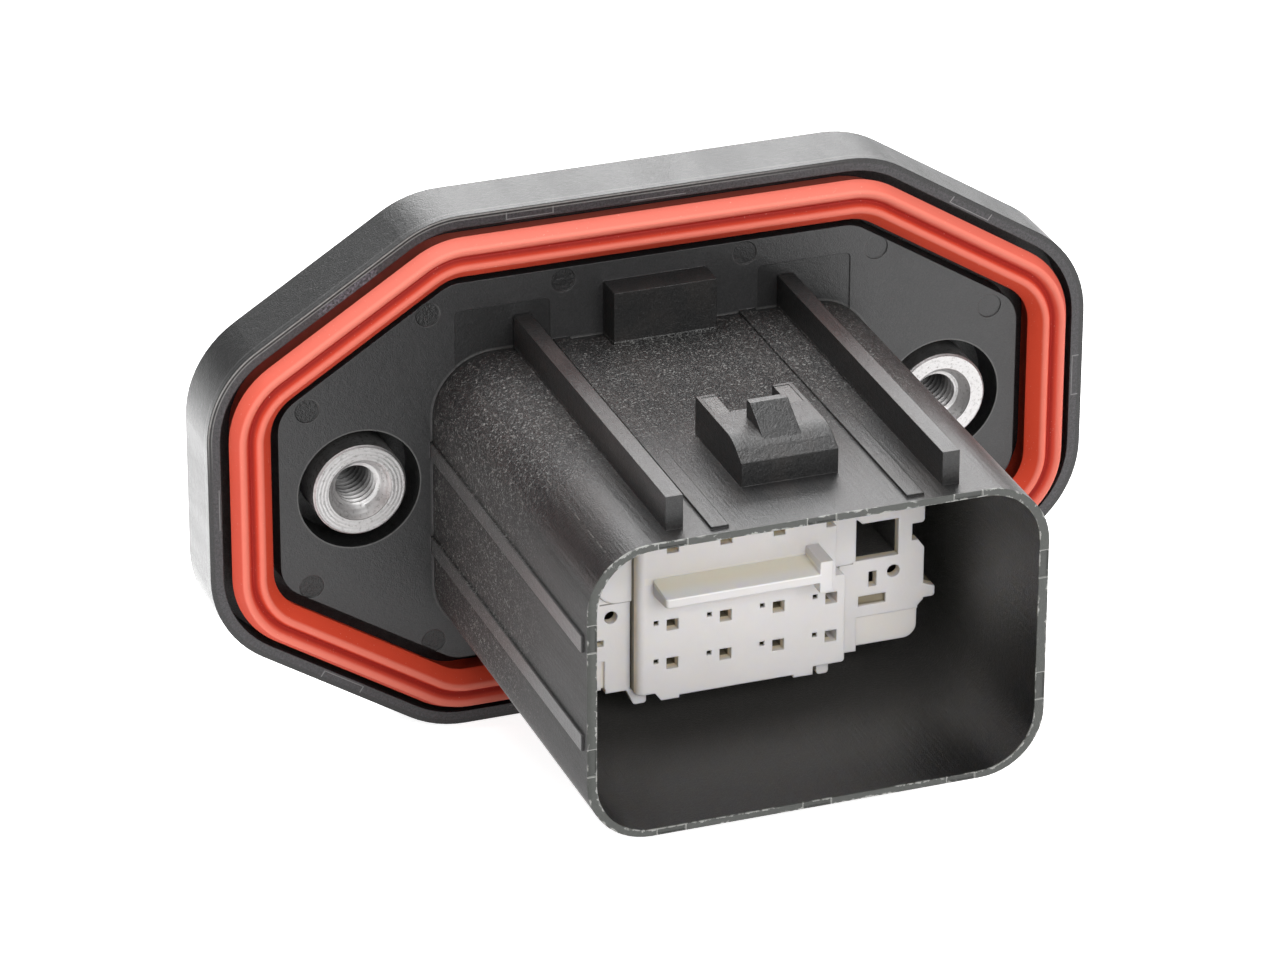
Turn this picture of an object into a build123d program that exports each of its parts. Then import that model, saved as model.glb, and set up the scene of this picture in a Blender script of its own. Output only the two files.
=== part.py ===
from build123d import *
import os

# A sealed connector that is bolted behind a panel. X runs along the flange, Z is up, and Y runs
# from the plug's side to the wires' side. The flange's rim touches the panel in the plane Y = 0.
# The origin is in that plane, midway between the two threaded bushings.

# Flange
flange_width = 96.5
flange_height = 58.0
flange_depth = 7.9
flange_top_edge = 48.6
flange_side_edge = 27.9
flange_corner_radius = 11.5
flange_edge_radius = 0.5
plate_setback = 0.3
plate_thickness = 3.0

# Seal channel and seal
rim_wall = 1.4
channel_width = 6.2
channel_depth = 3.6
channel_back_wall = 1.3
seal_width = 4.6
seal_offset = 0.15
seal_rib_spacing = 2.05
seal_crest_width = 0.84
seal_crest_radius = 0.3
seal_shoulder = 0.9
seal_valley_depth = 1.6
seal_stand_proud = 0.25

# Bushings and the wells that they stand in
bushing_spacing = 64.2
bushing_diameter = 10.0
bushing_length = 12.0
bushing_chamfer = 0.45
bushing_groove_depth = 0.4
bushing_groove_width = 1.2
thread_minor_diameter = 4.2
thread_entry_diameter = 6.7
thread_entry_depth = 1.6
thread_entry_cone = 0.9
bushing_fit = 0.02
well_diameter = 13.1
well_depth = 5.2
boss_wall = 1.4
boss_rear_wall = 1.8

# Shroud
shroud_width = 48.4
shroud_height = 32.1
shroud_centre_z = -2.73
shroud_length = 46.4
shroud_side_wall = 1.0
shroud_top_wall = 0.7
shroud_corner_radius = 6.75
shroud_floor_depth = 40.4

# Long ribs, rails, latch block and key block on the shroud
rib_spacing = 28.9
rib_width = 1.8
rib_height = 3.6
rib_setback = 2.3
rail_height = 0.3
rail_width = 1.8
rail_setback = 1.0
top_rail_spacing = 20.4
side_rail_heights = (3.2, -7.6)
latch_width = 10.2
latch_front = 37.8
latch_back = 25.1
latch_height = 4.15
latch_nose_height = 2.6
latch_nose_length = 2.6
latch_nose_radius = 5.0
latch_mark_depth = 0.05
latch_mark_margin = 0.45
latch_mark_length = 4.0
latch_notch_width = 6.1
latch_notch_depth = 4.2
tooth_width = 4.0
tooth_back = 31.1
tooth_height = 1.9
tooth_top_length = 0.9
tooth_tip = 36.0
tooth_foot = 1.0
key_width = 11.2
key_depth = 3.3
key_height = 5.9

# Marks of the mould on the plate and on the shroud's rim
mark_depth = 0.12
pin_mark_diameter = 2.6
pin_mark_places = ((9.9, 20.0), (24.5, 18.4), (37.5, 9.7), (37.4, -10.3), (24.3, -18.9))
patch_width = 10.3
patch_offset = 16.5
patch_bottom = 6.0
patch_top = 18.3
patch_radius = 0.6
rim_mark_length = 3.0
rim_mark_inset = 0.12
rim_mark_spacing = 15.4
rim_side_mark_spacing = 13.6

# Contact places
contact_pitch_x = 5.7
contact_pitch_z = 4.34
contact_columns = 4
contact_row_steps = (2, 1, -1, -2)
contact_centre_z = -1.51
blade_window = 1.27
probe_window = 0.52
probe_offset = (-1.76, 0.42)
probe_pocket = 1.2
probe_wall = 0.4
chamber_width = 3.5
chamber_height = 2.9
chamber_offset_x = -0.7
power_place = (14.24, -0.92)
power_window = 4.64
power_tower_wall = 0.9

# Core that holds the contact chambers, inside the shroud
core_half_width = 17.6
core_bottom = -12.4
core_top = 9.1
core_front = 16.0
core_corner_radius = 1.5
hook_depth = 0.6
hook_length = 1.7
hook_height = 5.5
hook_place = (11.0, -1.0)

# Contact carrier and front retainer
carrier_front = 26.3
carrier_half_width = 19.4
carrier_top = 9.2
carrier_bottom = -13.0
carrier_step_bottom = -13.5
carrier_step_left = -15.0
carrier_step_right = 12.1
carrier_flank_inset = 0.6
carrier_flank_top = -9.4
carrier_notch_bottom = -1.9
carrier_notch_top = 0.0
carrier_notch_depth = 1.35
carrier_notch_chamfer = 0.68
carrier_notch_drop = 0.95
carrier_bar_radius = 0.4
carrier_top_chamfer = 2.0
carrier_corner_radius = 1.45
carrier_wall = 1.1
window_wall = 1.0
side_hollow_wall = 1.4
arm_thickness = 1.55
gauge_holes = ((-14.44, -4.97), (16.08, -5.0))
gauge_hole_diameter = 1.4
side_pockets = (
    ((13.8, -5.5), (0.87, 1.72), 2.5),
    ((13.77, -7.87), (3.0, 1.1), 0.6),
    ((15.8, -11.65), (7.4, 3.9), 0.25),
    ((-15.6, -7.75), (0.75, 0.7), 2.5),
    ((-15.3, -11.6), (0.4, 3.6), 0.4),
)
bottom_lugs = ((-12.0, -10.65, -15.25), (7.8, 9.1, -15.4))
lug_depth = 3.0
lug_slope = 1.0
lug_radius = 0.35
side_lug_reach = 1.25
side_lug_top = -6.5
side_lug_shoulder = -7.5
side_lug_bottom = -8.6
power_lip = 0.5
power_lip_inset = 0.65
left_relief_bottom = -3.45
retainer_front = 28.2
retainer_seat = 1.2
retainer_left = -12.3
retainer_right = 10.05
retainer_waist = 9.0
retainer_bottom = -13.35
retainer_edge_radius = 0.8
retainer_corner_radius = 0.35
skirt_left = -10.4
skirt_right = 6.65
skirt_drop = 0.58
skirt_foot_slope = 0.68
skirt_foot_widths = (2.6, 2.1)
skirt_foot_drop = 0.32
block_front = 26.6
block_seat = 0.2
block_left = -16.0
block_right = 11.8
block_bottom = -3.3
block_radius = 0.7
block_left_radius = 2.1
shelf_length = 4.0
shelf_left = -10.72
shelf_right = 5.7
shelf_top = -0.8
shelf_thickness = 0.97
shelf_draft = 0.35
shelf_corner_radius = 0.4
fin_right = 7.05
fin_top = 0.55
fin_bottom = -2.9
parts_fit = 0.1

# Rear collar, wire seal and seal cover
collar_width = 44.0
collar_height = 28.0
collar_wall = 2.0
collar_corner_radius = 5.5
collar_rear = 14.5
seal_mat_thickness = 6.0
seal_mat_rib = 0.6
seal_mat_bands = 5
seal_mat_fit = 0.1
wire_hole_diameter = 2.4
wire_lip_diameter = 1.6
power_wire_diameter = 4.6
power_lip_diameter = 3.4
cover_plate_thickness = 2.0
cover_skirt_wall = 1.6
cover_skirt_length = 6.0
cover_fit = 0.15
cover_hole_clearance = 0.8
cover_edge_radius = 0.8
snap_width = 7.0
snap_length = 2.0
snap_height = 0.9
snap_place_x = 12.0
snap_setback = 2.6
web_rib_width = 1.8

# Corners closer than this lie on one line
same_place = 0.001

# Places that follow from the sizes above
tower_front = parts_fit + window_wall - carrier_front
half_width = flange_width / 2
half_height = flange_height / 2
shroud_top = shroud_centre_z + shroud_height / 2
plate_back = plate_setback + plate_thickness
bushing_places = [(-bushing_spacing / 2, 0), (bushing_spacing / 2, 0)]


def prism(outline, front, back):
    """A straight body whose outline is drawn in X and Z and which runs from Y front to Y back."""
    start = Plane(origin=(0, back, 0), x_dir=(1, 0, 0), z_dir=(0, -1, 0))
    return extrude(start * outline, back - front)


def block(left, right, bottom, top, front, back):
    """A rectangular body between six planes."""
    centre = Pos((left + right) / 2, (bottom + top) / 2)
    return prism(centre * Rectangle(right - left, top - bottom), front, back)


def side_profile(points, width):
    """A body whose outline is drawn in Y and Z, centred on X = 0."""
    outline = make_face(Polyline(*points, close=True))
    return extrude(Plane.YZ * outline, width / 2, both=True)


def corners_at(outline, x=None, y=None):
    """The corners of an outline that lie at X = x and at Y = y, where these are given."""
    return [
        corner for corner in outline.vertices()
        if (x is None or abs(corner.X - x) < same_place) and (y is None or abs(corner.Y - y) < same_place)
    ]


def rod(place, diameter, front, back):
    """A round body along Y."""
    return prism(Pos(*place) * Circle(diameter / 2), front, back)


def flange_outline(inset=0.0):
    """The flange's eight-sided outline with rounded corners, drawn in from its edge by inset."""
    x1, x2 = flange_top_edge / 2, half_width
    z1, z2 = flange_side_edge / 2, half_height
    corners = [(-x1, -z2), (x1, -z2), (x2, -z1), (x2, z1), (x1, z2), (-x1, z2), (-x2, z1), (-x2, -z1)]
    outline = make_face(Polyline(*corners, close=True))
    outline = fillet(outline.vertices(), flange_corner_radius)
    return offset(outline, amount=-inset) if inset else outline


def shroud_outline(side_inset=0.0, top_inset=0.0):
    """The shroud's rounded rectangle, drawn in by the thickness of its walls."""
    width = shroud_width - 2 * side_inset
    height = shroud_height - 2 * top_inset
    radius = shroud_corner_radius - (side_inset + top_inset) / 2
    return Pos(0, shroud_centre_z) * RectangleRounded(width, height, radius)


def collar_outline(grow=0.0):
    """The rear collar's rounded rectangle round the contact chambers."""
    radius = collar_corner_radius + grow
    return Pos(0, contact_centre_z) * RectangleRounded(
        collar_width + 2 * grow, collar_height + 2 * grow, radius
    )


def contact_places():
    """The centres of the blade contacts, row by row from the top left."""
    places = []
    for step in contact_row_steps:
        for column in range(contact_columns):
            x = (column - (contact_columns - 1) / 2) * contact_pitch_x
            places.append((x, contact_centre_z + step * contact_pitch_z))
    return places


def chambers(front, back):
    """The square ways for the blade contacts and for the power contact, between two planes."""
    cuts = [
        block(x + chamber_offset_x - chamber_width / 2, x + chamber_offset_x + chamber_width / 2,
              z - chamber_height / 2, z + chamber_height / 2, front, back)
        for x, z in contact_places()
    ]
    return Part() + cuts + power_way(0, front, back)


def power_way(grow, front, back):
    """A square body round the power contact, larger than its window by grow on each side."""
    x, z = power_place
    half = power_window / 2 + grow
    return block(x - half, x + half, z - half, z + half, front, back)


def flange():
    """The flange with its seal channel, plate, wells and the ribbed hollow at its back."""
    body = prism(flange_outline(), 0, flange_depth)
    body = fillet(body.faces().sort_by(Axis.Y)[-1].outer_wire().edges(), flange_edge_radius)
    channel = flange_outline(rim_wall) - flange_outline(rim_wall + channel_width)
    body -= prism(channel, 0, channel_depth)
    body -= prism(flange_outline(rim_wall + channel_width), 0, plate_setback)

    hollow = flange_outline(rim_wall + channel_width + channel_back_wall) - collar_outline()
    for place in bushing_places:
        hollow -= Pos(*place) * Circle(well_diameter / 2 + boss_wall)
        hollow -= Pos(place[0], 0) * Rectangle(web_rib_width, flange_height)
    for x in (-rib_spacing / 2, rib_spacing / 2):
        hollow -= Pos(x, 0) * Rectangle(web_rib_width, flange_height)
    hollow -= Rectangle(flange_width, web_rib_width)
    body -= prism(hollow, plate_back, flange_depth)

    for place in bushing_places:
        body += rod(place, bushing_diameter + 2 * boss_rear_wall, plate_back, bushing_length)
        body -= rod(place, well_diameter, 0, well_depth)
        body -= rod(place, bushing_diameter + 2 * bushing_fit, 0, bushing_length)
    return body


def latch_block():
    """The fixed latch: a block with a rounded nose, a notch behind, and a ramped tooth on top."""
    top = shroud_top + latch_height
    nose = shroud_top + latch_nose_height
    base = shroud_top - shroud_top_wall / 2
    body = side_profile(
        [(-latch_back, base), (-latch_back, top), (latch_nose_length - latch_front, top),
         (-latch_front, nose), (-latch_front, base)],
        latch_width,
    )
    brow = body.edges().filter_by(Axis.X).group_by(Axis.Z)[-1].sort_by(Axis.Y)[0]
    body = fillet(brow, latch_nose_radius)
    notch = latch_notch_width / 2
    body -= block(-notch, notch, base, top, -latch_back - latch_notch_depth, -latch_back)
    body += side_profile(
        [(-tooth_back, nose), (-tooth_back, top + tooth_height),
         (-tooth_back - tooth_top_length, top + tooth_height), (-tooth_tip, nose + tooth_foot),
         (-tooth_tip, nose)],
        tooth_width,
    )
    mark_back = -latch_back - latch_mark_margin
    for side in (-1, 1):
        edges = sorted((side * notch, side * (latch_width / 2 - latch_mark_margin)))
        body -= block(*edges, top - latch_mark_depth, top, mark_back - latch_mark_length, mark_back)
    return body


def shroud():
    """The deep shroud with the long ribs, the low rails, the latch block and the key block."""
    body = prism(shroud_outline(), -shroud_length, plate_back)
    base = shroud_top - shroud_top_wall / 2
    rib_top = shroud_top + rib_height
    for x in (-rib_spacing / 2, rib_spacing / 2):
        body += block(x - rib_width / 2, x + rib_width / 2, base, rib_top,
                      rib_setback - shroud_length, plate_back)
    rail_front = rail_setback - shroud_length
    for x in (-top_rail_spacing / 2, top_rail_spacing / 2):
        body += block(x - rail_width / 2, x + rail_width / 2, base, shroud_top + rail_height,
                      rail_front, plate_back)
    reach = shroud_width / 2 + rail_height
    for z in side_rail_heights:
        body += block(-reach, reach, z - rail_width / 2, z + rail_width / 2, rail_front, plate_back)
    body += latch_block()
    body += block(-key_width / 2, key_width / 2, base, shroud_top + key_height,
                  plate_setback - key_depth, plate_back)
    return body


def plug_space():
    """The hollow for the plug: the whole shroud in front of its floor, round the core."""
    floor = shroud_floor_depth - shroud_length
    space = prism(shroud_outline(shroud_side_wall, shroud_top_wall), -shroud_length, floor)
    width, height = 2 * core_half_width, core_top - core_bottom
    core = Pos(0, (core_top + core_bottom) / 2) * RectangleRounded(width, height, core_corner_radius)
    return space - prism(core, -core_front, floor) - power_way(power_tower_wall, tower_front, floor)


def hook_pockets():
    """The notches in the core's sides that hold the carrier's arms."""
    y, z = hook_place
    cuts = [
        block(side * core_half_width - hook_depth, side * core_half_width + hook_depth,
              z - hook_height / 2 - parts_fit, z + hook_height / 2 + parts_fit,
              -y - hook_length / 2 - parts_fit, -y + hook_length / 2 + parts_fit)
        for side in (-1, 1)
    ]
    return Part() + cuts


def mould_marks():
    """Shallow marks: ejector pins, patches round the rib feet and inserts on the shroud's rim."""
    face = plate_setback
    cuts = []
    for x, z in pin_mark_places:
        for side in (-1, 1):
            cuts.append(rod((side * x, z), pin_mark_diameter, face, face + mark_depth))
    for side in (-1, 1):
        patch = RectangleRounded(patch_width, patch_top - patch_bottom, patch_radius)
        centre = Pos(side * patch_offset, (patch_top + patch_bottom) / 2)
        cuts.append(prism(centre * patch, face, face + mark_depth))
    return Part() + cuts - prism(shroud_outline(), face, face + mark_depth)


def rim_marks():
    """Shallow insert marks on the shroud's front rim."""
    rim = -shroud_length
    cuts = []
    top_width = shroud_top_wall - 2 * rim_mark_inset
    side_width = shroud_side_wall - 2 * rim_mark_inset
    for up in (-1, 1):
        z = shroud_centre_z + up * (shroud_height - shroud_top_wall) / 2
        for step in (-1, 0, 1):
            mark = Pos(step * rim_mark_spacing, z) * Rectangle(rim_mark_length, top_width)
            cuts.append(prism(mark, rim, rim + mark_depth))
    for side in (-1, 1):
        x = side * (shroud_width - shroud_side_wall) / 2
        for up in (-0.5, 0.5):
            z = shroud_centre_z + up * rim_side_mark_spacing
            mark = Pos(x, z) * Rectangle(side_width, rim_mark_length)
            cuts.append(prism(mark, rim, rim + mark_depth))
    return Part() + cuts


def collar():
    """The rear collar that holds the wire seal, with the ramps that keep the cover on."""
    body = prism(collar_outline(), 0, collar_rear)
    ramp_back = collar_rear - snap_setback
    half = collar_height / 2
    for side in (-1, 1):
        foot = contact_centre_z + side * (half - collar_wall / 2)
        edge = contact_centre_z + side * half
        crest = contact_centre_z + side * (half + snap_height)
        points = [(ramp_back - snap_length, foot), (ramp_back - snap_length, crest),
                  (ramp_back - snap_length / 2, crest), (ramp_back, edge), (ramp_back, foot)]
        for x in (-snap_place_x, snap_place_x):
            body += Pos(x, 0, 0) * side_profile(points, snap_width)
    return body


def housing():
    """The one-piece black housing."""
    body = flange() + shroud() + collar()
    body -= plug_space()
    body -= prism(collar_outline(-collar_wall), 0, collar_rear)
    body -= chambers(tower_front, 0)
    body -= hook_pockets() + mould_marks() + rim_marks()
    return body


def seal_section():
    """The ring's section: two ribs with flat crests and sloped shoulders, and a valley between."""
    crest = channel_depth + seal_stand_proud
    near = (seal_rib_spacing - seal_crest_width) / 2
    far = (seal_rib_spacing + seal_crest_width) / 2
    edge = seal_width / 2
    right = [(0, edge), (crest - seal_shoulder, edge), (crest, far), (crest, near)]
    left = [(height, -across) for height, across in reversed(right)]
    valley = (crest - seal_valley_depth, 0)
    section = make_face(Polyline(*right, valley, *left, close=True))
    return fillet(corners_at(section, x=crest), seal_crest_radius)


def flange_seal():
    """The silicone ring: one section with two ribs, carried round the channel."""
    middle = Plane.XZ * flange_outline(rim_wall + channel_width / 2 + seal_offset)
    path = middle.faces()[0].outer_wire()
    floor = path.position_at(0) + Vector(0, channel_depth, 0)
    across = Plane(origin=floor, x_dir=(0, -1, 0), z_dir=path.tangent_at(0))
    return sweep(across * seal_section(), path=Pos(0, channel_depth, 0) * path)


def bushing(place):
    """A turned bushing with a grooved grip, a wide entry and a threaded bore."""
    outer = bushing_diameter / 2
    groove = outer - bushing_groove_depth
    entry = thread_entry_diameter / 2
    minor = thread_minor_diameter / 2
    grip = well_depth + bushing_groove_width
    cone_end = thread_entry_depth + thread_entry_cone
    points = [
        (entry, 0), (outer - bushing_chamfer, 0), (outer, bushing_chamfer),
        (outer, grip), (groove, grip), (groove, grip + bushing_groove_width),
        (outer, grip + bushing_groove_width), (outer, bushing_length - bushing_chamfer),
        (outer - bushing_chamfer, bushing_length), (minor, bushing_length),
        (minor, cone_end), (entry, thread_entry_depth),
    ]
    section = make_face(Polyline(*points, close=True))
    return Pos(place[0], 0, place[1]) * revolve(section, Axis.Y)


def carrier_outline():
    """The carrier's outline: chamfered top, notched right side and a stepped foot in the middle."""
    x, top, low, step = carrier_half_width, carrier_top, carrier_bottom, carrier_step_bottom
    flank = x - carrier_flank_inset
    notch = x - carrier_notch_depth
    right = [
        (carrier_step_right, step), (carrier_step_right, low),
        (flank, low), (flank, carrier_flank_top), (x, carrier_flank_top + carrier_flank_inset),
        (x, carrier_notch_bottom - carrier_notch_drop),
        (x - carrier_notch_chamfer, carrier_notch_bottom), (notch, carrier_notch_bottom),
        (notch, carrier_notch_top), (x, carrier_notch_top), (x, top - carrier_top_chamfer),
        (x - carrier_top_chamfer, top),
    ]
    left = [
        (carrier_top_chamfer - x, top), (-x, top - carrier_top_chamfer),
        (-x, carrier_flank_top + carrier_flank_inset), (-flank, carrier_flank_top), (-flank, low),
        (carrier_step_left, low), (carrier_step_left, step),
    ]
    outline = make_face(Polyline(*right, *left, close=True))
    feet = corners_at(outline, -flank, low) + corners_at(outline, flank, low)
    outline = fillet(feet, carrier_corner_radius)
    return fillet(corners_at(outline, x, carrier_notch_top), carrier_bar_radius)


def retainer_plate():
    """The retainer's tall middle plate: a narrow waist, a skirt below and a foot at each skirt end."""
    skirt = retainer_bottom - skirt_drop
    foot = skirt - skirt_foot_drop
    neck = block_bottom - parts_fit
    left_foot, right_foot = skirt_left + skirt_foot_widths[0], skirt_right - skirt_foot_widths[1]
    points = [
        (retainer_left, carrier_top), (retainer_waist, carrier_top), (retainer_waist, neck),
        (retainer_right, neck), (retainer_right, retainer_bottom), (skirt_right, retainer_bottom),
        (skirt_right, foot), (right_foot, foot), (right_foot, skirt), (left_foot, skirt),
        (left_foot, foot), (skirt_left + skirt_foot_slope, foot), (skirt_left, retainer_bottom),
        (retainer_left, retainer_bottom),
    ]
    outline = make_face(Polyline(*points, close=True))
    return fillet(corners_at(outline, x=retainer_right), retainer_corner_radius)


def retainer_blocks():
    """The outline of the two blocks beside the waist of the retainer's plate."""
    height = carrier_top - block_bottom
    middle = (carrier_top + block_bottom) / 2
    shape = Sketch()
    spans = ((block_left, retainer_left, block_left_radius), (retainer_waist, block_right, block_radius))
    for left, right, radius in spans:
        outline = Pos((left + right) / 2, middle) * Rectangle(right - left, height)
        outer = left if left < 0 else right
        shape += fillet(corners_at(outline, outer, block_bottom), radius)
    return shape


def carrier_openings():
    """The holes of the side sections, the relief at their left, and the hollows behind their wall."""
    face = -carrier_front
    cuts = Part()
    for place in gauge_holes:
        cuts += rod(place, gauge_hole_diameter, face, -core_front)
    for centre, size, depth in side_pockets:
        cuts += prism(Pos(*centre) * Rectangle(*size), face, face + depth)
    cuts += block(-carrier_half_width, block_left, left_relief_bottom, carrier_top,
                  face, face + lug_depth)

    side = carrier_half_width - side_hollow_wall
    low, high = carrier_bottom + side_hollow_wall, carrier_top - side_hollow_wall
    columns = (contact_columns - 1) / 2 * contact_pitch_x
    chamber_left = chamber_offset_x - columns - chamber_width / 2 - side_hollow_wall
    chamber_right = chamber_offset_x + columns + chamber_width / 2 + side_hollow_wall
    cuts += block(-side, chamber_left, low, high, face + carrier_wall, -core_front)
    cuts += block(chamber_right, side, low, high, face + carrier_wall, -core_front)
    return cuts + power_way(power_tower_wall + parts_fit, face + window_wall, -core_front)


def carrier_arms():
    """The two arms that reach back along the core and hook into its sides."""
    y, z = hook_place
    inner = core_half_width + parts_fit
    tip = hook_length / 2 - y
    root = -core_front - side_hollow_wall
    body = Part()
    low, high = z - hook_height / 2, z + hook_height / 2
    hook_inner = core_half_width - hook_depth + parts_fit
    for side in (-1, 1):
        edges = sorted((side * inner, side * (inner + arm_thickness)))
        body += block(*edges, low, high, root, tip)
        edges = sorted((side * (inner + arm_thickness / 2), side * hook_inner))
        body += block(*edges, low, high, tip - hook_length, tip)
    return body


def carrier_lugs():
    """The lugs that stand out of the carrier's lower edge and right side."""
    face = -carrier_front
    body = Part()
    for left, right, bottom in bottom_lugs:
        outer, inner = (left, right) if left < 0 else (right, left)
        slope = lug_slope if left < 0 else 0
        points = [(outer - slope, carrier_bottom), (outer, bottom), (inner, bottom),
                  (inner, carrier_bottom)]
        outline = make_face(Polyline(*points, close=True))
        outline = fillet(corners_at(outline, y=bottom), lug_radius)
        body += prism(outline, face, face + lug_depth)
    root, tip = carrier_half_width - side_lug_reach, carrier_half_width + side_lug_reach
    middle = (side_lug_top + side_lug_shoulder) / 2
    points = [(root, side_lug_bottom), (tip, side_lug_bottom), (tip, side_lug_shoulder),
              (carrier_half_width, middle), (root, middle)]
    outline = make_face(Polyline(*points, close=True))
    outline = fillet(corners_at(outline, tip, side_lug_bottom), lug_radius)
    return body + prism(outline, face, face + lug_depth)


def power_window_lip():
    """The lip with one sloped end that hangs into the top of the power window."""
    x, z = power_place
    half = power_window / 2
    left, right, top, low = x - half, x + half, z + half, z + half - power_lip
    corner = left + power_lip_inset
    points = [(corner - power_lip, top), (corner, low), (right, low), (right, top)]
    outline = make_face(Polyline(*points, close=True))
    return prism(outline, -carrier_front, window_wall - carrier_front)


def contact_carrier():
    """The ivory carrier: chambers, side sections, lugs, arms and the retainer's seat."""
    face = -carrier_front
    body = prism(carrier_outline(), face, -core_front) + carrier_arms() + carrier_lugs()
    body -= prism(offset(retainer_plate(), parts_fit), face, face + retainer_seat)
    body -= prism(offset(retainer_blocks(), parts_fit), face, face + block_seat)
    body -= chambers(face, -core_front) + carrier_openings()
    return body + power_window_lip()


def shelf_and_fin():
    """The polarising shelf that stands forward of the plate, with the fin at its right end."""
    tip = -retainer_front - shelf_length
    low = shelf_top - shelf_thickness
    body = Pos((shelf_left + shelf_right) / 2, 0) * side_profile(
        [(tip, low), (tip, shelf_top), (-retainer_front, shelf_top + shelf_draft),
         (-retainer_front, low - shelf_draft)],
        shelf_right - shelf_left,
    )
    body = fillet(body.edges().filter_by(Axis.Z).group_by(Axis.X)[0], shelf_corner_radius)
    fin = block(shelf_right, fin_right, fin_bottom, fin_top, tip, -retainer_front)
    return body + fin


def front_retainer():
    """The ivory retainer: a windowed plate, corner blocks, and the polarising shelf and fin."""
    back = retainer_seat - carrier_front
    body = prism(retainer_plate(), -retainer_front, back)
    front_edges = body.edges().filter_by(Axis.Z).group_by(Axis.Y)[0]
    body = fillet(front_edges.sort_by(Axis.X)[0], retainer_edge_radius)
    body += prism(retainer_blocks(), -block_front, block_seat - carrier_front)
    body += shelf_and_fin()
    for x, z in contact_places():
        front, half = -retainer_front, blade_window / 2
        body -= block(x - half, x + half, z - half, z + half, front, back)
        x, z, half = x + probe_offset[0], z + probe_offset[1], probe_window / 2
        body -= block(x - half, x + half, z - half, z + half, front, back)
        half = probe_pocket / 2
        body -= block(x - half, x + half, z - half, z + half, front + probe_wall, back)
    return body


def wire_places():
    """The centres of the wires, one behind each contact chamber, with their two diameters."""
    places = [
        ((x + chamber_offset_x, z), wire_hole_diameter, wire_lip_diameter)
        for x, z in contact_places()
    ]
    return places + [(power_place, power_wire_diameter, power_lip_diameter)]


def wire_seal():
    """The silicone mat behind the chambers, ribbed at its edge and lipped in every hole."""
    well = collar_outline(-collar_wall - seal_mat_fit)
    body = prism(collar_outline(-collar_wall - seal_mat_fit - seal_mat_rib), 0, seal_mat_thickness)
    step = seal_mat_thickness / seal_mat_bands
    for start in range(1, seal_mat_bands, 2):
        body += prism(well, start * step, (start + 1) * step)
    for place, wide, lip in wire_places():
        body -= rod(place, lip, 0, seal_mat_thickness)
        for start in range(0, seal_mat_bands, 2):
            body -= rod(place, wide, start * step, (start + 1) * step)
    return body


def seal_cover():
    """The cover on the collar: wire holes, a plug that holds the mat, and a skirt with windows."""
    back = collar_rear + cover_plate_thickness
    skirt_front = collar_rear - cover_skirt_length
    body = prism(collar_outline(cover_fit + cover_skirt_wall), collar_rear, back)
    body = fillet(body.faces().sort_by(Axis.Y)[-1].outer_wire().edges(), cover_edge_radius)
    skirt = collar_outline(cover_fit + cover_skirt_wall) - collar_outline(cover_fit)
    body += prism(skirt, skirt_front, collar_rear)
    body += prism(collar_outline(-collar_wall - cover_fit), seal_mat_thickness, collar_rear)
    for place, wide, _ in wire_places():
        body -= rod(place, wide + cover_hole_clearance, seal_mat_thickness, back)
    window_back = collar_rear - snap_setback + cover_fit
    half = snap_width / 2 + cover_fit
    low, high = contact_centre_z - collar_height, contact_centre_z + collar_height
    window_front = window_back - snap_length - 2 * cover_fit
    for x in (-snap_place_x, snap_place_x):
        windows = block(x - half, x + half, low, high, window_front, window_back)
        body -= windows - prism(collar_outline(), skirt_front, collar_rear)
    return body


os.makedirs("parts", exist_ok=True)
left_place, right_place = bushing_places
nodes = {
    "housing": housing(),
    "flange_seal": flange_seal(),
    "bushing_left": bushing(left_place),
    "bushing_right": bushing(right_place),
    "contact_carrier": contact_carrier(),
    "front_retainer": front_retainer(),
    "wire_seal": wire_seal(),
    "seal_cover": seal_cover(),
}
for name, shape in nodes.items():
    export_step(shape, f"parts/{name}.step")
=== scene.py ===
from math import atan2, cos, pi, radians, sin

import bmesh
import bpy
from mathutils import Matrix, Vector


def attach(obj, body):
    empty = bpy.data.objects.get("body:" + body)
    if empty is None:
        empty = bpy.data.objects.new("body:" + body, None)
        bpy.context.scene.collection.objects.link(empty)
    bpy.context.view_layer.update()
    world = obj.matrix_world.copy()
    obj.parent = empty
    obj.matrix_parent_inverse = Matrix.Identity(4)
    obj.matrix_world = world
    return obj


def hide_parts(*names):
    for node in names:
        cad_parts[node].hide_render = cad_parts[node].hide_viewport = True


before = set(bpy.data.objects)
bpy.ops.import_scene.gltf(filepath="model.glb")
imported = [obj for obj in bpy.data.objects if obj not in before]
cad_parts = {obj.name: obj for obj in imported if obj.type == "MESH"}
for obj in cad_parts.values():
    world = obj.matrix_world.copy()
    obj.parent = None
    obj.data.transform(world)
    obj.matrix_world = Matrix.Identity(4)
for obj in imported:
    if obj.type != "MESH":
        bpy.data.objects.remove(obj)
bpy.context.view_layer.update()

# Camera: a long lens above and to the left of the plug side, aimed so that the connector
# sits in the picture as it does in the photograph.
MM = 0.001
camera_turn, camera_height, camera_roll = radians(-20.37), radians(26.25), radians(0.19)
camera_place = Vector((-216.3, -578.2, 300.2)) * MM

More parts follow.
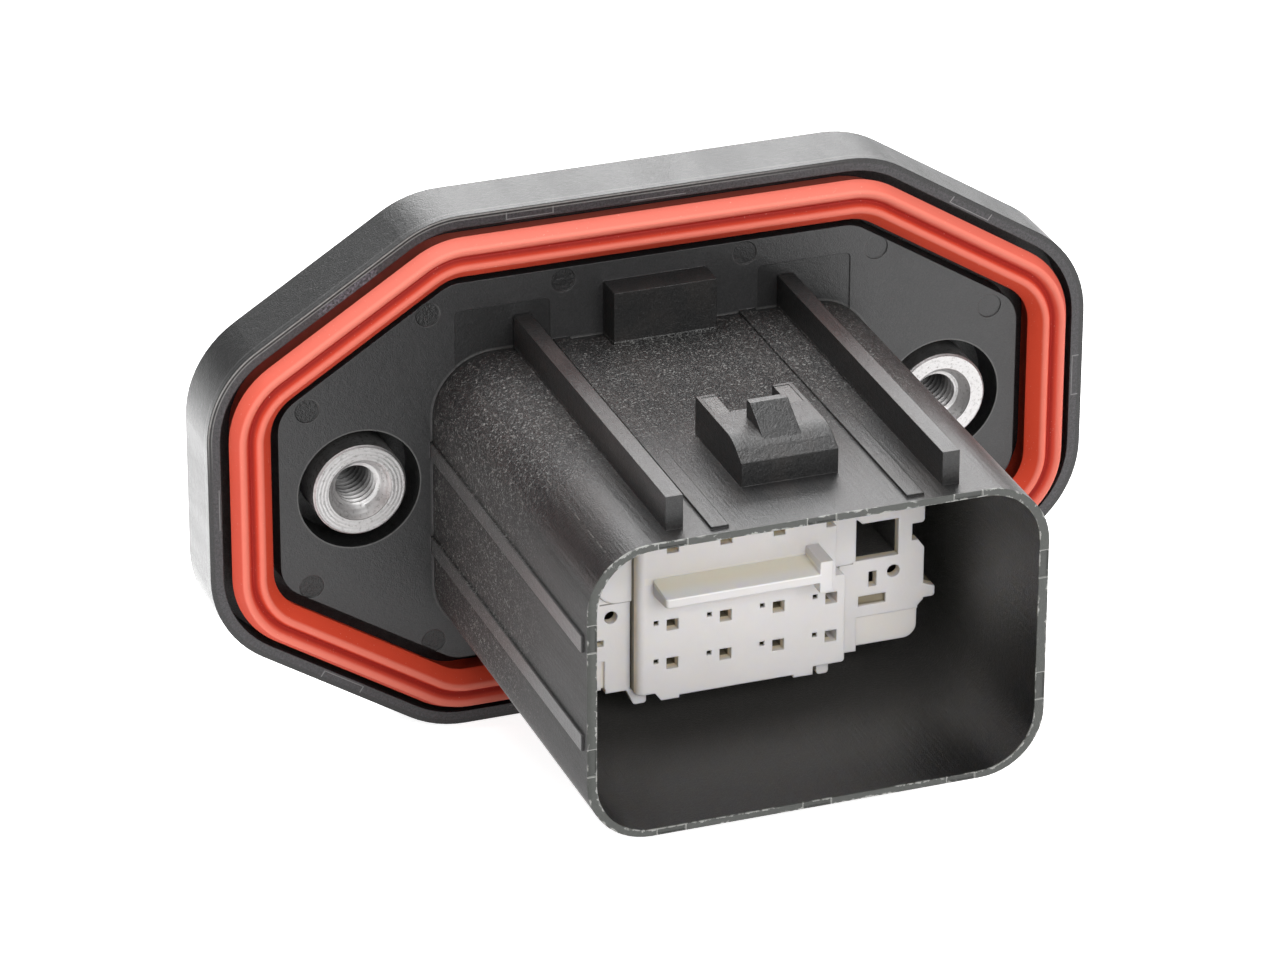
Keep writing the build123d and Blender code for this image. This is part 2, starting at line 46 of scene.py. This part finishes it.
lens = bpy.data.cameras.new("camera")
lens.sensor_width = 36
lens.lens = 186.16
lens.clip_start, lens.clip_end = 0.01, 20
camera = bpy.data.objects.new("camera", lens)
bpy.context.collection.objects.link(camera)
turn = Matrix.Rotation(camera_turn, 4, "Z") @ Matrix.Rotation(pi / 2 - camera_height, 4, "X")
camera.matrix_world = Matrix.Translation(camera_place) @ turn @ Matrix.Rotation(camera_roll, 4, "Z")
bpy.context.scene.camera = camera
bpy.context.scene.view_settings.view_transform = "Standard"


# Studio: a white paper floor and a white surround, lit by a broad panel overhead and one behind
# that the top faces mirror, with a fill in front, a window at the left, and two small cards for
# the flange's upper left edge and the shroud's left wall.
class Link:
    """A value on its way between two nodes. Sums on it add the nodes that they need."""

    def __init__(self, nodes, socket):
        self.nodes = nodes
        self.socket = socket

    def sum(self, operation, first, second=0.0, clamp=False):
        settings = {"operation": operation, "use_clamp": clamp}
        return self.nodes.add("Math", settings, {0: first, 1: second})

    def __add__(self, other):
        return self.sum("ADD", self, other)

    def __radd__(self, other):
        return self.sum("ADD", other, self)

    def __sub__(self, other):
        return self.sum("SUBTRACT", self, other)

    def __rsub__(self, other):
        return self.sum("SUBTRACT", other, self)

    def __mul__(self, other):
        return self.sum("MULTIPLY", self, other)

    def __rmul__(self, other):
        return self.sum("MULTIPLY", other, self)

    def __truediv__(self, other):
        return self.sum("DIVIDE", self, other)

    def __pow__(self, other):
        return self.sum("POWER", self, other)

    def __abs__(self):
        return self.sum("ABSOLUTE", self)

    def __or__(self, other):
        return self.sum("MAXIMUM", self, other)

    def __and__(self, other):
        return self.sum("MINIMUM", self, other)

    def clamped(self):
        """The value held between 0 and 1."""
        return self.sum("ADD", self, 0.0, clamp=True)

    def ramp(self, low, high):
        """0 at low, 1 at high and a smooth rise between, also where high is the lower number."""
        sockets = {"Value": self, "From Min": low, "From Max": high}
        return self.nodes.add("MapRange", {"interpolation_type": "SMOOTHSTEP"}, sockets)

    def band(self, centre, half, soft=0.05):
        """1 within half of the centre and 0 beyond, with an edge as wide as soft."""
        return abs(self - centre).ramp(half + soft, half)


class Nodes:
    """The nodes of one material or world."""

    def __init__(self, tree):
        self.tree = tree
        tree.nodes.clear()

    def add(self, kind, settings=None, sockets=None, output=0):
        """A node of any kind, with its settings made first and then its sockets filled."""
        node = self.tree.nodes.new("ShaderNode" + kind)
        for name, value in (settings or {}).items():
            setattr(node, name, value)
        for name, value in (sockets or {}).items():
            if isinstance(value, Link):
                self.tree.links.new(value.socket, node.inputs[name])
            else:
                node.inputs[name].default_value = value
        return Link(self, node.outputs[output]) if node.outputs else node

    def mix(self, factor, first, second):
        """A colour between first and second."""
        return self.add("Mix", {"data_type": "RGBA"}, {0: factor, 6: first, 7: second}, output=2)

    def noise(self, place, scale, detail=2.0, roughness=0.5, stretch=(1, 1, 1), curl=0.0):
        """Cloudy variation from 0 to 1. The scale is in clouds a millimetre, and curl bends them."""
        turned = self.add("Mapping", {}, {"Vector": place, "Scale": stretch})
        sockets = {"Vector": turned, "Scale": scale, "Detail": detail, "Roughness": roughness,
                   "Distortion": curl}
        return self.add("TexNoise", {}, sockets)

    def bump(self, height, distance, normal=None):
        """A normal from a height between 0 and 1 that stands for the distance in millimetres."""
        sockets = {"Height": height, "Distance": distance * MM}
        if normal is not None:
            sockets["Normal"] = normal
        return self.add("Bump", {}, sockets)

    def place(self):
        """Where a point is on the piece, in millimetres."""
        object_place = self.add("TexCoord", output="Object")
        return self.add("VectorMath", {"operation": "SCALE"}, {0: object_place, "Scale": 1 / MM})

    def axes(self, place):
        """The three numbers of a place."""
        split = self.add("SeparateXYZ", {}, {"Vector": place})
        return [Link(self, socket) for socket in split.socket.node.outputs]

    def finish(self, **sockets):
        """The surface of a material, from the values or links of the shader's sockets."""
        named = {name.replace("_", " "): value for name, value in sockets.items()}
        shader = self.add("BsdfPrincipled", {}, named)
        self.add("OutputMaterial", {}, {"Surface": shader})


def new_material(name):
    """An empty material and its nodes."""
    material = bpy.data.materials.new(name)
    material.use_nodes = True
    return material, Nodes(material.node_tree)


def colour(red, green, blue):
    """A solid colour, from its shares of linear light."""
    return (red, green, blue, 1.0)


floor_height = -29.0 * MM
floor_mesh = bmesh.new()
bmesh.ops.create_grid(floor_mesh, x_segments=1, y_segments=1, size=3.0)
bmesh.ops.translate(floor_mesh, verts=floor_mesh.verts, vec=(0, 0, floor_height))
floor_data = bpy.data.meshes.new("floor")
floor_mesh.to_mesh(floor_data)
floor_mesh.free()
floor = bpy.data.objects.new("floor", floor_data)
bpy.context.collection.objects.link(floor)

white_paper, paper = new_material("white paper")
direct = paper.add("LightPath", output="Is Camera Ray")
through = paper.add("LightPath", output="Is Transmission Ray")
mirrored = paper.add("LightPath", output="Is Glossy Ray")
seen = (direct | through) * 0.85 | mirrored * 0.55
grain = paper.noise(paper.place(), 0.4)
sheet = paper.mix(grain, colour(0.78, 0.78, 0.78), colour(0.80, 0.80, 0.80))
paper.finish(Base_Color=sheet, Roughness=0.9, Specular_IOR_Level=0.0,
             Emission_Color=colour(1, 1, 1), Emission_Strength=seen)
floor_data.materials.append(white_paper)

surround = bpy.data.worlds.new("white surround")
surround.use_nodes = True
bpy.context.scene.world = surround
air = Nodes(surround.node_tree)
direct = air.add("LightPath", output="Is Camera Ray")
through = air.add("LightPath", output="Is Transmission Ray")
mirrored = air.add("LightPath", output="Is Glossy Ray")
strength = 0.26 + (direct | through) * 0.74 - mirrored * 0.14
glow = air.add("Background", {}, {"Color": colour(1, 1, 1), "Strength": strength})
air.add("OutputWorld", {}, {"Surface": glow})


def panel_lamp(name, place, size, power, aim=(0, 0, 0)):
    """A soft rectangular lamp. Its place, its size and the point that it faces are in millimetres."""
    lamp = bpy.data.lights.new(name, "AREA")
    lamp.shape = "RECTANGLE"
    lamp.size = size[0] * MM
    lamp.size_y = size[1] * MM
    lamp.energy = power
    panel = bpy.data.objects.new(name, lamp)
    panel.location = Vector(place) * MM
    panel.rotation_euler = (Vector(aim) * MM - panel.location).to_track_quat("-Z", "Y").to_euler()
    panel.visible_camera = False
    bpy.context.collection.objects.link(panel)


panel_lamp("overhead panel", (-60, 140, 600), (700, 500), 6.0)
panel_lamp("rear panel", (262, 707, 371), (620, 420), 4.5)
panel_lamp("front fill", (40, -640, 320), (420, 300), 2.9)
panel_lamp("left window", (-480, -390, 390), (160, 200), 0.36)
panel_lamp("rear left card", (-190, 590, 325), (230, 230), 0.10)
panel_lamp("card on the floor", (-85, 76, -28), (90, 110), 0.060, aim=(-85, 76, 0))


# Housing: one glass-filled black nylon moulding. It is satin near the shroud's mouth and rougher
# near the plate, with pale fibre specks, brownish flow marks, the rings of the ejector pins, the
# outlines of the tool's inserts, and a thin pale flash round the mouth.
corner_radius = 11.5
top_corner = (20.98, 17.5)
side_corner = (36.75, 7.59)
bushing_x = 32.1


def flange_depth(x, z):
    """How far inside the flange's edge a point lies, down to the centres of its corners."""
    centres = ((0.0, top_corner[1]), top_corner, side_corner, (side_corner[0], 0.0))
    nearest = None
    for (start_x, start_z), (end_x, end_z) in zip(centres, centres[1:]):
        run_x, run_z = end_x - start_x, end_z - start_z
        square = run_x ** 2 + run_z ** 2
        across, up = abs(x) - start_x, abs(z) - start_z
        share = ((across * run_x + up * run_z) / square).clamped()
        away_x, away_z = across - share * run_x, up - share * run_z
        away = (away_x * away_x + away_z * away_z) ** 0.5
        nearest = away if nearest is None else nearest & away
    return corner_radius - nearest


def box_depth(x, z, half_width, half_height, radius):
    """How far inside a rounded rectangle round the origin a point lies, below 0 outside it."""
    across = abs(x) - (half_width - radius)
    up = abs(z) - (half_height - radius)
    over_x, over_z = across | 0.0, up | 0.0
    outside = (over_x * over_x + over_z * over_z) ** 0.5
    return radius - outside - ((across | up) & 0.0)


black_moulding, nylon = new_material("glass-filled black nylon")
place = nylon.place()
x, y, z = nylon.axes(place)
rough_zone = y.ramp(-38.0, -16.0)
fine = nylon.noise(place, 3.4, detail=3.0, roughness=0.7)
fibres = nylon.noise(place, 4.2, detail=2.0, roughness=0.65, curl=1.0)
grit = nylon.noise(place, 8.0, detail=2.0)
coarse = nylon.noise(place, 1.3, detail=2.0)
flow = nylon.noise(place, 0.30, detail=4.0, roughness=0.6, stretch=(1.0, 0.28, 1.0)).ramp(0.40, 0.70)
streaks = nylon.noise(place, 2.4, detail=3.0, stretch=(1.0, 0.05, 1.0))
ring_depth = flange_depth(x, z)
above_centre = z + 2.73
shroud_depth = box_depth(x, above_centre, 24.2, 16.05, 6.75)
mouth_depth = box_depth(x, above_centre, 23.2, 15.35, 5.9)
forward = y.ramp(0.1, -0.4)
skin = forward * shroud_depth.ramp(-0.5, -0.25)
specks = fibres.ramp(0.53, 0.66) * (0.05 + skin * rough_zone * coarse.ramp(0.25, 0.62) * 0.95)

# The grain of the moulding: flow marks, grit, and pale fibres where the skin is rough. Painted
# shade darkens the shroud's outer left wall, and painted light makes its rails' outer faces paler.
base = nylon.mix(flow * forward, colour(0.006, 0.006, 0.0065), colour(0.018, 0.0145, 0.013))
base = nylon.mix(grit.ramp(0.35, 0.65) * 0.6, base, colour(0.032, 0.032, 0.032))
# Painted shade: the shroud's outer left wall darkened nearly to black.
left_wall_shade = x.ramp(-23.5, -24.0) * forward
base = nylon.mix(left_wall_shade * 0.7, base, colour(0.004, 0.004, 0.004))
# Painted light: the outer faces of the rails on that wall made paler.
rail_face_light = x.ramp(-24.32, -24.4) * forward
base = nylon.mix(rail_face_light, base, colour(0.055, 0.055, 0.055))
base = nylon.mix(specks * 0.9, base, colour(0.27, 0.27, 0.26))

# The edge of the mouth, with ragged flash on its two sides and the joints between the tool's parts.
mouth = y.ramp(-46.18, -46.32)
wobble = nylon.noise(place, 1.6, detail=3.0, roughness=0.7)
ragged = nylon.noise(place, 0.35, detail=2.0, roughness=0.6).ramp(0.48, 0.56)
flash_width = 0.08 + (wobble - 0.5) * 1.1
outer_flash = (shroud_depth - flash_width).ramp(0.03, -0.03) * ragged
inner_flash = (mouth_depth + flash_width).ramp(0.0, 0.06) * (1.0 - ragged)
repeat = nylon.add("Math", {"operation": "PINGPONG"}, {0: x, 1: 7.7})
joints_x = repeat.band(1.5, 0.05) * abs(x).ramp(22.0, 21.5)
joints_z = abs(abs(above_centre) - 6.8).band(1.5, 0.05) * abs(x).ramp(22.5, 23.0)
flash = (outer_flash | inner_flash | joints_x | joints_z) * mouth
base = nylon.mix(mouth, base, nylon.mix(fine, colour(0.040, 0.043, 0.039), colour(0.075, 0.078, 0.071)))
base = nylon.mix(flash * 0.75, base, colour(0.42, 0.42, 0.40))

# The hollow, painted paler away from the mouth: painted light standing in for the light that reaches
# inside.
inside = mouth_depth.ramp(-0.3, -0.1) * y.ramp(-46.2, -32.0)
base = nylon.mix(inside * 0.8, base, colour(0.085, 0.082, 0.078))

# The plate, with ejector pin marks, the outlines of two inserts, and pale lines at foot and wells.
plate = y.band(0.36, 0.10, 0.02) * shroud_depth.ramp(0.1, 0.0)
pin_marks = None
for pin_x, pin_z in ((9.9, 20.0), (24.5, 18.4), (37.5, 9.7), (37.4, -10.3), (24.3, -18.9)):
    across, up = abs(x) - pin_x, z - pin_z
    away = (across * across + up * up) ** 0.5
    pin_marks = away if pin_marks is None else pin_marks & away
pin_rings = pin_marks.band(1.33, 0.05, 0.06)
pin_faces = pin_marks.ramp(1.3, 1.2)
patch_depth = box_depth(abs(x) - 16.5, z - 12.15, 5.15, 6.15, 0.6)
patch_edges = patch_depth.band(0.0, 0.04, 0.06)
foot_line = shroud_depth.band(-0.12, 0.08, 0.08)
well_x = abs(x) - bushing_x
well_edge = ((well_x * well_x + z * z) ** 0.5).band(6.62, 0.04, 0.06)
towards_left = x.ramp(30.0, -10.0)
pale_lines = pin_rings * 0.04 | patch_edges * 0.05 | foot_line * wobble * 0.3 | well_edge * 0.3
pale_lines = pale_lines * plate
dark_marks = pin_faces * (0.5 + wobble * 0.5) * towards_left | patch_depth.ramp(0.0, 0.1) * 0.45
dark_marks = dark_marks * plate
base = nylon.mix(plate * 0.5, base, colour(0.042, 0.042, 0.043))
base = nylon.mix(dark_marks, base, colour(0.004, 0.004, 0.004))
base = nylon.mix(pale_lines, base, colour(0.24, 0.24, 0.23))

# The flange's rim: its face glossier and painted paler as a painted reflection, most of all at the
# upper left corner; painted highlights along its rounded outer edge at the top and upper left, with
# a painted shade line between them; the outlines of four small inserts; and a witness line on the
# flange's side.
rim_face = y.band(0.0, 0.25, 0.05) * ring_depth.ramp(1.9, 1.7)
corner_patch = (x + z * 0.35).band(-25.2, 3.4, 0.6) * z.ramp(18.0, 19.0)
# Painted reflection: the rim's face paler, most at the upper left corner, and glossier with it.
gloss_and_painted_reflection = (0.25 + corner_patch * 0.75) * rim_face * ring_depth.ramp(0.45, 0.6)
base = nylon.mix(gloss_and_painted_reflection * fine.ramp(0.35, 0.7), base, colour(0.15, 0.135, 0.16))
# Painted highlights on the rim's rounded outer edge, with a painted shade line between them.
rim_highlight_zone = rim_face * z.ramp(2.0, 12.0) * x.ramp(24.0, 4.0)
edge_highlights = ring_depth.band(0.16, 0.05, 0.06) | ring_depth.band(0.50, 0.04, 0.05) * 0.6
base = nylon.mix(edge_highlights * rim_highlight_zone * (0.3 + wobble), base, colour(0.30, 0.30, 0.29))
base = nylon.mix(ring_depth.band(0.33, 0.05, 0.05) * rim_highlight_zone, base, colour(0.003, 0.003, 0.003))
insert_lines = None
for first, last in (((-16.1, 28.3), (-11.1, 28.3)), ((-36.4, -20.3), (-32.4, -23.1)),
                    ((32.9, 22.8), (36.8, 19.6)), ((47.4, 2.5), (47.4, -2.05))):
    run = Vector((last[0] - first[0], last[1] - first[1]))
    length = run.length
    along = ((x - first[0]) * run.x + (z - first[1]) * run.y) / length
    across = ((z - first[1]) * run.x - (x - first[0]) * run.y) / length
    ends = (along.band(0.0, 0.04) | along.band(length, 0.04)) * across.band(0.0, 0.9)
    sides = along.band(length / 2, length / 2) * ring_depth.band(1.15, 0.03, 0.04)
    insert_lines = ends | sides if insert_lines is None else insert_lines | ends | sides
insert_lines = insert_lines * rim_face * ring_depth.band(0.8, 0.38, 0.02)
base = nylon.mix(insert_lines * 0.6, base, colour(0.26, 0.26, 0.26))
side_line = y.band(0.85, 0.08, 0.10) * ring_depth.ramp(0.6, 0.3)
base = nylon.mix(side_line * 0.4, base, colour(0.10, 0.10, 0.10))

# A pale line down the shroud's upper left corner, and paler patches on the tops of the latch
# block's two arms.
corner_line = (x + 21.45).band(0.0, 0.02, 0.05) * y.ramp(-3.0, -8.0) * z.ramp(11.0, 12.0)
base = nylon.mix(corner_line * wobble.ramp(0.48, 0.60) * 0.4, base, colour(0.24, 0.23, 0.21))
pale_arm_tops = y.band(-27.6, 2.0, 0.05) * abs(x).band(3.87, 0.75, 0.05) * z.ramp(17.2, 17.3)
base = nylon.mix(pale_arm_tops * 0.6, base, colour(0.085, 0.083, 0.08))

# The relief of the surface, and edges rounded in the light only.
rough = 0.2 + rough_zone * skin * 0.8
relief = (fine + fibres * 1.5) * rough + grit * 0.2 + coarse * 0.3
relief = relief + streaks * (1.0 - rough) * forward * 0.5
relief = relief + pin_faces * plate * (fine * 1.2 - 0.9) * towards_left
rounded = nylon.add("Bevel", {"samples": 6}, {"Radius": 0.14 * MM})
gloss_level = 0.29 + flow * 0.05 + fine * 0.12 - gloss_and_painted_reflection * 0.15 + left_wall_shade * 0.25 - rail_face_light * 0.25
nylon.finish(Base_Color=base, Roughness=gloss_level + mouth * 0.15, IOR=1.55,
             Normal=nylon.bump(relief, 0.10, rounded))


# Ring seal: one orange-red silicone moulding, pressed into the flange's channel. The solid has
# nearly its clamped height. Here it stands free, with two sloped ribs: its section is carried round
# the flange's eight corners. Its colour holds painted light: pale rib tops and a paler upper run as
# painted highlights, and a deep red hollow between the ribs as painted shade.
red_silicone, silicone = new_material("orange-red silicone")
place = silicone.place()
x, y, z = silicone.axes(place)
clouds = silicone.noise(place, 0.5, detail=4.0)
fine = silicone.noise(place, 5.0, detail=2.0)
dust = fine.ramp(0.70, 0.76)
ring_depth = flange_depth(x, z)
# Masks for painted shade between the ribs and painted highlights on the rib tops.
valley_shade = ring_depth.band(4.2, 0.15, 0.50) * y.ramp(-1.90, -1.25)
inner = ring_depth.ramp(4.1, 4.6)
crest_highlights = y.ramp(-1.60, -1.90)
red = silicone.mix(clouds, colour(0.66, 0.072, 0.038), colour(0.72, 0.086, 0.047))
# Painted light: the upper run paler, as if lit from above. Painted shade with red bounce light: the
# inner rib a deeper orange.
red = silicone.mix(z.ramp(4.0, 24.0) * (1.0 - inner) * 0.6, red, colour(0.72, 0.19, 0.14))
red = silicone.mix(inner * 0.7, red, colour(0.72, 0.058, 0.020))
# Painted highlights on the rib tops, and painted shade between the ribs; the pale specks are dust.
red = silicone.mix(crest_highlights * 0.7, red, colour(0.84, 0.23, 0.165))
red = silicone.mix(valley_shade, red, colour(0.36, 0.018, 0.010))
red = silicone.mix(dust * 0.35, red, colour(0.92, 0.60, 0.50))
silicone.finish(Base_Color=red, Roughness=0.55 + clouds * 0.12, IOR=1.38,
                Normal=silicone.bump(fine, 0.012))

seal_section = [(3.4, 3.55), (3.4, 1.2), (2.2, -0.35),
                (2.85, -1.7), (3.0, -1.92), (3.2, -2.0), (3.42, -1.95), (3.6, -1.8),
                (4.05, -1.2), (4.2, -1.12), (4.35, -1.2),
                (4.7, -1.75), (4.86, -1.9), (5.08, -1.95), (5.3, -1.88), (5.46, -1.72),
                (6.5, -0.55), (6.6, -0.35), (5.6, 1.2), (5.6, 3.55)]
corners = []
for right, up in ((1, 1), (1, -1), (-1, -1), (-1, 1)):
    pair = [(corner[0] * right, corner[1] * up) for corner in (top_corner, side_corner)]
    corners += pair if right == up else pair[::-1]

# The path has a station at each step of each corner's arc: the arc's centre and the way out.
arc_steps = 10
stations = []
for number, (corner_x, corner_z) in enumerate(corners):
    before, after = corners[number - 1], corners[(number + 1) % len(corners)]
    start = atan2(corner_x - before[0], before[1] - corner_z)
    sweep = atan2(after[0] - corner_x, corner_z - after[1]) - start
    sweep = (sweep + pi) % (2 * pi) - pi
    for step in range(arc_steps + 1):
        angle = start + sweep * step / arc_steps
        stations.append((corner_x, corner_z, cos(angle), sin(angle)))


def seal_place(station, depth, height):
    """A place on the seal, from its depth inside the flange's edge and its height along Y."""
    corner_x, corner_z, right, up = station
    reach = corner_radius - depth
    return Vector((corner_x + reach * right, height, corner_z + reach * up)) * MM


seal_mesh = bmesh.new()
points = [seal_mesh.verts.new(seal_place(stations[0], *point)) for point in seal_section]
first_loop = [seal_mesh.edges.new(pair) for pair in zip(points, points[1:] + points[:1])]
front = first_loop
for before, after in zip(stations, stations[1:]):
    grown = bmesh.ops.extrude_edge_only(seal_mesh, edges=front)["geom"]
    moved = [item for item in grown if isinstance(item, bmesh.types.BMVert)]
    front = [item for item in grown if isinstance(item, bmesh.types.BMEdge)
             and item.verts[0] in moved and item.verts[1] in moved]
    for vert in moved:
        across, up = vert.co.x / MM - before[0], vert.co.z / MM - before[1]
        depth = corner_radius - across * before[2] - up * before[3]
        vert.co = seal_place(after, depth, vert.co.y / MM)
bmesh.ops.bridge_loops(seal_mesh, edges=first_loop + front)
bmesh.ops.recalc_face_normals(seal_mesh, faces=seal_mesh.faces)
for face in seal_mesh.faces:
    face.smooth = True
for edge in seal_mesh.edges:
    edge.smooth = edge.calc_face_angle(0.0) < radians(35)

seal_data = bpy.data.meshes.new("flange_seal_free")
seal_mesh.to_mesh(seal_data)
seal_mesh.free()
seal_data.materials.append(red_silicone)
seal_piece = bpy.data.objects.new("flange_seal_free", seal_data)
bpy.context.collection.objects.link(seal_piece)
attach(seal_piece, "root")
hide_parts("flange_seal")


# Contact carrier and front retainer: two ivory polyester mouldings deep in the shroud, satin
# and slightly translucent. Their recesses and side walls are painted beige, and dark deeper in, as
# painted shade.
def ivory_polyester(name, face, left, right, shadow_line_strength):
    """Ivory with painted shade: beige, then dark, behind the plane of its face, between left and right.
    """
    material, ivory = new_material(name)
    place = ivory.place()
    x, y, z = ivory.axes(place)
    clouds = ivory.noise(place, 0.35, detail=3.0)
    fine = ivory.noise(place, 3.0)
    pale = ivory.mix(clouds, colour(0.755, 0.725, 0.715), colour(0.79, 0.765, 0.755))
    # Painted light on the shelf's top: very pale at its front, turning beige towards the back as
    # painted shade.
    shelf_top = z.band(-0.6, 0.35, 0.05) * x.ramp(5.9, 5.6) * y.ramp(-28.18, -28.24)
    shelf_light_and_shade = ivory.mix(y.ramp(-31.9, -29.6), colour(0.93, 0.91, 0.89), colour(0.94, 0.88, 0.74))
    pale = ivory.mix(shelf_top, pale, shelf_light_and_shade)
    # Painted shade: beige behind the plane of the face, and dark more than a millimetre behind it.
    behind = y.ramp(face + 0.04, face + 0.9) * x.ramp(left - 0.05, left) * x.ramp(right + 0.05, right)
    pale = ivory.mix(behind * 0.85, pale, colour(0.88, 0.77, 0.56))
    pale = ivory.mix(y.ramp(face + 0.98, face + 1.15) * behind, pale, colour(0.22, 0.19, 0.13))
    # Painted shadow: thin dark lines under the two blocks, as strong as the last argument.
    block_shadow_lines = z.band(-3.42, 0.05, 0.06) * (x.band(-14.0, 1.6, 0.1) | x.band(10.4, 1.2, 0.1)) * shadow_line_strength
    pale = ivory.mix(block_shadow_lines, pale, colour(0.10, 0.08, 0.06))
    # Painted shade: the slot's inside darkened.
    slot = x.band(13.88, 1.75, 0.05) * z.band(-7.75, 0.75, 0.05) * y.ramp(face + 0.2, face + 0.5)
    pale = ivory.mix(slot * 0.9, pale, colour(0.20, 0.165, 0.10))
    rounded = ivory.add("Bevel", {"samples": 6}, {"Radius": 0.15 * MM})
    ivory.finish(Base_Color=pale, Roughness=0.42 + clouds * 0.1, Subsurface_Weight=0.5,
                 Subsurface_Radius=(1.0, 0.85, 0.6), Subsurface_Scale=0.8 * MM,
                 Normal=ivory.bump(fine, 0.010, rounded))
    return material


ivory_carrier = ivory_polyester("ivory polyester carrier", -26.3, -21.0, 21.0, 0.8)
ivory_retainer = ivory_polyester("ivory polyester retainer", -28.2, -12.33, 8.7, 0.0)


# Bushings: turned steel, moulded into the flange, with fine rings from the turning tool on the
# face, a chamfered mouth and a coarse M5 thread in the bore.
turned_steel, steel = new_material("turned steel")
place = steel.place()
x, y, z = steel.axes(place)
across = abs(x) - bushing_x
away = (across * across + z * z) ** 0.5
drift = steel.noise(place, 0.25, detail=3.0)
turning = steel.add("Math", {"operation": "SINE"}, {0: away * 17.0 + drift * 6.0}) * 0.5 + 0.5
tint = steel.noise(place, 1.5, detail=3.0)
metal = steel.mix(tint, colour(0.54, 0.53, 0.525), colour(0.66, 0.65, 0.65))
stains = steel.noise(place, 2.6, detail=4.0, roughness=0.75).ramp(0.50, 0.66)
metal = steel.mix(stains * (0.25 + turning * 0.45), metal, colour(0.20, 0.19, 0.18))
# Painted shade: the bore darkened towards black deeper in.
deep = y.ramp(1.5, 5.5)
metal = steel.mix(deep * 0.85, metal, colour(0.05, 0.05, 0.05))
steel.finish(Base_Color=metal, Metallic=1.0, Roughness=0.44 + tint * 0.14,
             Normal=steel.bump(turning, 0.012))


def threaded_bushing(name, centre_x):
    """A bushing whose outside is spun, and whose bore is a thread joined to its two ends.

    Both outlines are in radius and depth behind the bushing's face.
    """
    mesh = bmesh.new()
    bore = bmesh.new()
    pitch, steps = 0.8, 64
    mouth_depth, bore_start, bore_end, back = 1.25, 1.35, 11.9, 12.0
    groove_radius, crest_radius = 2.5, 2.1
    outside = [(2.52, mouth_depth), (3.4, 0.12), (3.4, 0.0), (4.8, 0.0), (5.0, 0.2),
               (5.0, 6.4), (4.6, 6.4), (4.6, 7.6), (5.0, 7.6),
               (5.0, 11.55), (4.55, back), (2.5, back)]
    thread = []
    for turn_number in range(16):
        depth = bore_start + (turn_number - 1.5) * pitch
        thread += [(groove_radius, depth), (groove_radius, depth + 0.1),
                   (crest_radius, depth + 0.4), (crest_radius, depth + 0.5)]
    for part, outline, rise in ((mesh, outside, 0.0), (bore, thread, pitch)):
        points = [part.verts.new((radius * MM, depth * MM, 0)) for radius, depth in outline]
        lines = [part.edges.new(pair) for pair in zip(points, points[1:])]
        bmesh.ops.spin(part, geom=points + lines, cent=(0, 0, 0), axis=(0, 1, 0), angle=2 * pi,
                       steps=steps, dvec=(0, rise * MM / steps, 0), use_merge=rise == 0)
    bmesh.ops.remove_doubles(bore, verts=bore.verts, dist=0.002 * MM)
    for height, keep in ((bore_start, 1), (bore_end, -1)):
        geometry = bore.verts[:] + bore.edges[:] + bore.faces[:]
        bmesh.ops.bisect_plane(bore, geom=geometry, plane_co=(0, height * MM, 0), dist=0.0001 * MM,
                               plane_no=(0, keep, 0), clear_inner=True)
    data = bpy.data.meshes.new(name)
    bore.to_mesh(data)
    mesh.from_mesh(data)
    bore.free()

    def open_ring(height):
        """The open edges at a height."""
        return [edge for edge in mesh.edges if edge.is_boundary
                and all(abs(vert.co.y / MM - height) < 0.02 for vert in edge.verts)]

    for first, second in ((mouth_depth, bore_start), (back, bore_end)):
        bmesh.ops.bridge_loops(mesh, edges=open_ring(first) + open_ring(second))
    bmesh.ops.recalc_face_normals(mesh, faces=mesh.faces)
    bmesh.ops.translate(mesh, verts=mesh.verts, vec=(centre_x * MM, 0, 0))
    for face in mesh.faces:
        face.smooth = True
    for edge in mesh.edges:
        edge.smooth = edge.calc_face_angle(0.0) < radians(25)
    mesh.to_mesh(data)
    mesh.free()
    data.materials.append(turned_steel)
    piece = bpy.data.objects.new(name + "_threaded", data)
    bpy.context.collection.objects.link(piece)
    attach(piece, "root")
    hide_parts(name)


for name, centre_x in (("bushing_left", -bushing_x), ("bushing_right", bushing_x)):
    threaded_bushing(name, centre_x)


# Wire seal and its cover: a silicone mat at the back, held by a black snap-on plate. The last lines
# give every solid its finish.
black_cover = black_moulding.copy()
black_cover.name = "black cover nylon"

node_finishes = {
    "housing": black_moulding,
    "flange_seal": red_silicone,
    "contact_carrier": ivory_carrier,
    "front_retainer": ivory_retainer,
    "wire_seal": red_silicone,
    "seal_cover": black_cover,
}
for node_name, material in node_finishes.items():
    for slot in bpy.data.objects[node_name].material_slots:
        slot.material = material
